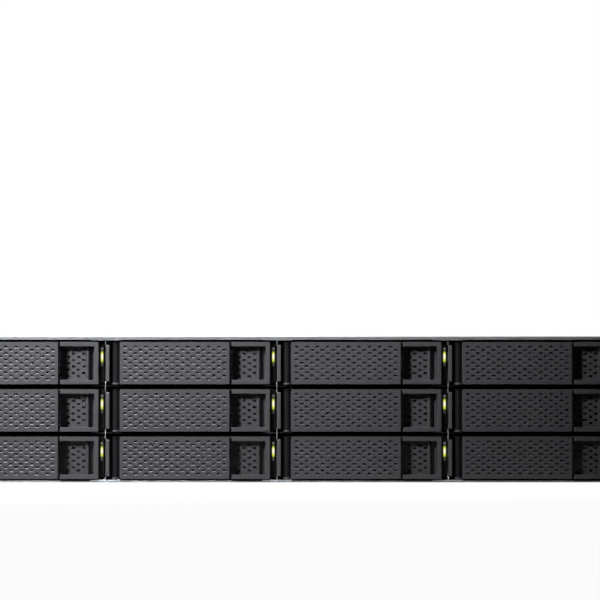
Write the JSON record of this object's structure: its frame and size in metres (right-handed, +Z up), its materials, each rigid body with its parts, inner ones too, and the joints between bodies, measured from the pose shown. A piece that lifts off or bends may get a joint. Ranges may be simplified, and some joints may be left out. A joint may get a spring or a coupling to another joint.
{
  "type": "rackmount nas server",
  "caption": "Two-unit rackmount storage server with hot swap drive trays behind perforated swing levers, redundant power supplies and cooling fans.",
  "frame": {"origin": "under the middle of the overall box, on the underside of the base", "axes": "+X to the right seen from the front, +Y from the front to the back, +Z up"},
  "size_m": [0.4826, 0.545, 0.0884],
  "materials": {
    "tray_plastic": "fine moulded grain",
    "lever_plastic": "fine moulded grain",
    "drive_alloy": "cast, satin",
    "case_steel": "zinc coated sheet",
    "galvanised_sheet": "zinc coated sheet",
    "ear_paint": "fine powder coat",
    "button_plastic": "satin",
    "circuit_board": "solder mask",
    "socket_plastic": "moulded",
    "fan_plastic": "moulded",
    "heatsink_alloy": "milled",
    "port_shell": "plated",
    "psu_alloy": "satin",
    "latch_plastic": "satin"
  },
  "bodies": {
    "root": {"chassis_base": "case_steel", "front_cover": "case_steel", "rear_cover": "case_steel", "rear_panel": "case_steel", "bay_walls": "galvanised_sheet", "cage_brace": "galvanised_sheet", "rack_ear_left": "ear_paint", "rack_ear_right": "ear_paint", "backplane": "circuit_board", "drive_sockets": "socket_plastic", "fan_frames": "fan_plastic", "mainboard": "circuit_board", "cpu_heatsink": "heatsink_alloy", "memory_modules": "circuit_board", "psu_cage": "galvanised_sheet", "rear_ports": "port_shell"},
    "tray_r1c1": {"tray_r1c1": "tray_plastic", "drive_r1c1": "drive_alloy"},
    "lever_r1c1": {"lever_r1c1": "lever_plastic"},
    "tray_r1c2": {"tray_r1c2": "tray_plastic", "drive_r1c2": "drive_alloy"},
    "lever_r1c2": {"lever_r1c2": "lever_plastic"},
    "tray_r1c3": {"tray_r1c3": "tray_plastic", "drive_r1c3": "drive_alloy"},
    "lever_r1c3": {"lever_r1c3": "lever_plastic"},
    "tray_r1c4": {"tray_r1c4": "tray_plastic", "drive_r1c4": "drive_alloy"},
    "lever_r1c4": {"lever_r1c4": "lever_plastic"},
    "tray_r2c1": {"tray_r2c1": "tray_plastic", "drive_r2c1": "drive_alloy"},
    "lever_r2c1": {"lever_r2c1": "lever_plastic"},
    "tray_r2c2": {"tray_r2c2": "tray_plastic", "drive_r2c2": "drive_alloy"},
    "lever_r2c2": {"lever_r2c2": "lever_plastic"},
    "tray_r2c3": {"tray_r2c3": "tray_plastic", "drive_r2c3": "drive_alloy"},
    "lever_r2c3": {"lever_r2c3": "lever_plastic"},
    "tray_r2c4": {"tray_r2c4": "tray_plastic", "drive_r2c4": "drive_alloy"},
    "lever_r2c4": {"lever_r2c4": "lever_plastic"},
    "tray_r3c1": {"tray_r3c1": "tray_plastic", "drive_r3c1": "drive_alloy"},
    "lever_r3c1": {"lever_r3c1": "lever_plastic"},
    "tray_r3c2": {"tray_r3c2": "tray_plastic", "drive_r3c2": "drive_alloy"},
    "lever_r3c2": {"lever_r3c2": "lever_plastic"},
    "tray_r3c3": {"tray_r3c3": "tray_plastic", "drive_r3c3": "drive_alloy"},
    "lever_r3c3": {"lever_r3c3": "lever_plastic"},
    "tray_r3c4": {"tray_r3c4": "tray_plastic", "drive_r3c4": "drive_alloy"},
    "lever_r3c4": {"lever_r3c4": "lever_plastic"},
    "fan_rotor_1": {"fan_rotor_1": "fan_plastic"},
    "fan_rotor_2": {"fan_rotor_2": "fan_plastic"},
    "fan_rotor_3": {"fan_rotor_3": "fan_plastic"},
    "psu_lower": {"psu_lower": "psu_alloy"},
    "psu_latch_lower": {"psu_latch_lower": "latch_plastic"},
    "psu_upper": {"psu_upper": "psu_alloy"},
    "psu_latch_upper": {"psu_latch_upper": "latch_plastic"},
    "power_button": {"power_button": "button_plastic"}
  },
  "joints": [
    {"name": "tray_slide_r1c1", "type": "slide", "parent": "root", "child": "tray_r1c1", "axis": [0, -1, 0], "range_m": [0, 0.17]},
    {"name": "lever_hinge_r1c1", "type": "hinge", "parent": "tray_r1c1", "child": "lever_r1c1", "pos_m": [-0.20095, -0.2681, 0.01487], "axis": [0, 0, -1], "range_deg": [0, 70]},
    {"name": "tray_slide_r1c2", "type": "slide", "parent": "root", "child": "tray_r1c2", "axis": [0, -1, 0], "range_m": [0, 0.17]},
    {"name": "lever_hinge_r1c2", "type": "hinge", "parent": "tray_r1c2", "child": "lever_r1c2", "pos_m": [-0.09735, -0.2681, 0.01487], "axis": [0, 0, -1], "range_deg": [0, 70]},
    {"name": "tray_slide_r1c3", "type": "slide", "parent": "root", "child": "tray_r1c3", "axis": [0, -1, 0], "range_m": [0, 0.17]},
    {"name": "lever_hinge_r1c3", "type": "hinge", "parent": "tray_r1c3", "child": "lever_r1c3", "pos_m": [0.00625, -0.2681, 0.01487], "axis": [0, 0, -1], "range_deg": [0, 70]},
    {"name": "tray_slide_r1c4", "type": "slide", "parent": "root", "child": "tray_r1c4", "axis": [0, -1, 0], "range_m": [0, 0.17]},
    {"name": "lever_hinge_r1c4", "type": "hinge", "parent": "tray_r1c4", "child": "lever_r1c4", "pos_m": [0.10985, -0.2681, 0.01487], "axis": [0, 0, -1], "range_deg": [0, 70]},
    {"name": "tray_slide_r2c1", "type": "slide", "parent": "root", "child": "tray_r2c1", "axis": [0, -1, 0], "range_m": [0, 0.17]},
    {"name": "lever_hinge_r2c1", "type": "hinge", "parent": "tray_r2c1", "child": "lever_r2c1", "pos_m": [-0.20095, -0.2681, 0.04347], "axis": [0, 0, -1], "range_deg": [0, 70]},
    {"name": "tray_slide_r2c2", "type": "slide", "parent": "root", "child": "tray_r2c2", "axis": [0, -1, 0], "range_m": [0, 0.17]},
    {"name": "lever_hinge_r2c2", "type": "hinge", "parent": "tray_r2c2", "child": "lever_r2c2", "pos_m": [-0.09735, -0.2681, 0.04347], "axis": [0, 0, -1], "range_deg": [0, 70]},
    {"name": "tray_slide_r2c3", "type": "slide", "parent": "root", "child": "tray_r2c3", "axis": [0, -1, 0], "range_m": [0, 0.17]},
    {"name": "lever_hinge_r2c3", "type": "hinge", "parent": "tray_r2c3", "child": "lever_r2c3", "pos_m": [0.00625, -0.2681, 0.04347], "axis": [0, 0, -1], "range_deg": [0, 70]},
    {"name": "tray_slide_r2c4", "type": "slide", "parent": "root", "child": "tray_r2c4", "axis": [0, -1, 0], "range_m": [0, 0.17]},
    {"name": "lever_hinge_r2c4", "type": "hinge", "parent": "tray_r2c4", "child": "lever_r2c4", "pos_m": [0.10985, -0.2681, 0.04347], "axis": [0, 0, -1], "range_deg": [0, 70]},
    {"name": "tray_slide_r3c1", "type": "slide", "parent": "root", "child": "tray_r3c1", "axis": [0, -1, 0], "range_m": [0, 0.17]},
    {"name": "lever_hinge_r3c1", "type": "hinge", "parent": "tray_r3c1", "child": "lever_r3c1", "pos_m": [-0.20095, -0.2681, 0.07208], "axis": [0, 0, -1], "range_deg": [0, 70]},
    {"name": "tray_slide_r3c2", "type": "slide", "parent": "root", "child": "tray_r3c2", "axis": [0, -1, 0], "range_m": [0, 0.17]},
    {"name": "lever_hinge_r3c2", "type": "hinge", "parent": "tray_r3c2", "child": "lever_r3c2", "pos_m": [-0.09735, -0.2681, 0.07208], "axis": [0, 0, -1], "range_deg": [0, 70]},
    {"name": "tray_slide_r3c3", "type": "slide", "parent": "root", "child": "tray_r3c3", "axis": [0, -1, 0], "range_m": [0, 0.17]},
    {"name": "lever_hinge_r3c3", "type": "hinge", "parent": "tray_r3c3", "child": "lever_r3c3", "pos_m": [0.00625, -0.2681, 0.07208], "axis": [0, 0, -1], "range_deg": [0, 70]},
    {"name": "tray_slide_r3c4", "type": "slide", "parent": "root", "child": "tray_r3c4", "axis": [0, -1, 0], "range_m": [0, 0.17]},
    {"name": "lever_hinge_r3c4", "type": "hinge", "parent": "tray_r3c4", "child": "lever_r3c4", "pos_m": [0.10985, -0.2681, 0.07208], "axis": [0, 0, -1], "range_deg": [0, 70]},
    {"name": "fan_spin_1", "type": "hinge", "parent": "root", "child": "fan_rotor_1", "pos_m": [-0.12, -0.0529, 0.041], "axis": [0, 1, 0], "continuous": true},
    {"name": "fan_spin_2", "type": "hinge", "parent": "root", "child": "fan_rotor_2", "pos_m": [0, -0.0529, 0.041], "axis": [0, 1, 0], "continuous": true},
    {"name": "fan_spin_3", "type": "hinge", "parent": "root", "child": "fan_rotor_3", "pos_m": [0.12, -0.0529, 0.041], "axis": [0, 1, 0], "continuous": true},
    {"name": "psu_slide_lower", "type": "slide", "parent": "root", "child": "psu_lower", "axis": [0, 1, 0], "range_m": [0, 0.19]},
    {"name": "psu_latch_press_lower", "type": "slide", "parent": "psu_lower", "child": "psu_latch_lower", "axis": [-1, 0, 0], "range_m": [0, 0.003], "stiffness_N_per_m": 600},
    {"name": "psu_slide_upper", "type": "slide", "parent": "root", "child": "psu_upper", "axis": [0, 1, 0], "range_m": [0, 0.19]},
    {"name": "psu_latch_press_upper", "type": "slide", "parent": "psu_upper", "child": "psu_latch_upper", "axis": [-1, 0, 0], "range_m": [0, 0.003], "stiffness_N_per_m": 600},
    {"name": "power_button_press", "type": "slide", "parent": "root", "child": "power_button", "axis": [0, 1, 0], "range_m": [0, 0.0015], "stiffness_N_per_m": 1500}
  ]
}
